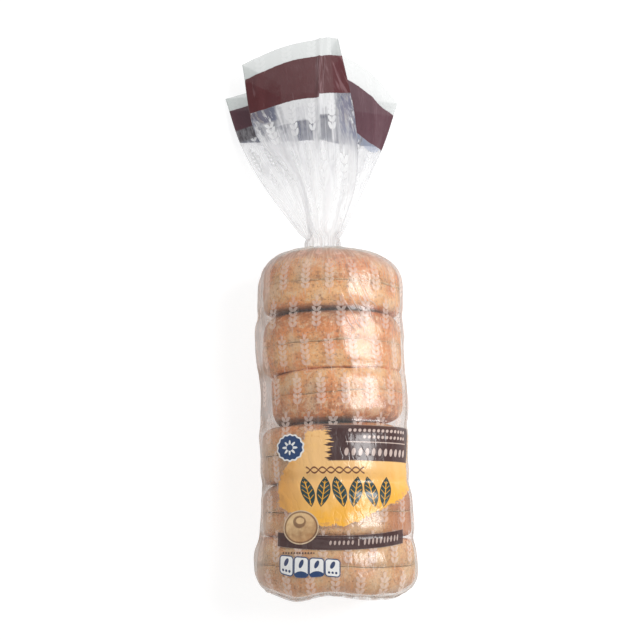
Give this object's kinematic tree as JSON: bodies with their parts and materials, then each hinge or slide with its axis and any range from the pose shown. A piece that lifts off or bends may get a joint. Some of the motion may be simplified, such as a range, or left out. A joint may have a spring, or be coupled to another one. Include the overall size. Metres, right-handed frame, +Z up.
{
  "type": "bag of sliced bagels",
  "caption": "Clear printed film bag, gathered to a fanned open neck, lying on its back round a snug row of sliced bagels.",
  "frame": {"origin": "on the surface the bag lies on, under the middle of its bounding box", "axes": "+X to the right of the printed front, +Y from the closed end to the open mouth, +Z up out of the printed front"},
  "size_m": [0.144, 0.426, 0.101],
  "materials": {
    "filled_bag": "clear film over baked crust"
  },
  "bodies": {
    "root": {"bag_of_bagels": "filled_bag"}
  },
  "joints": []
}
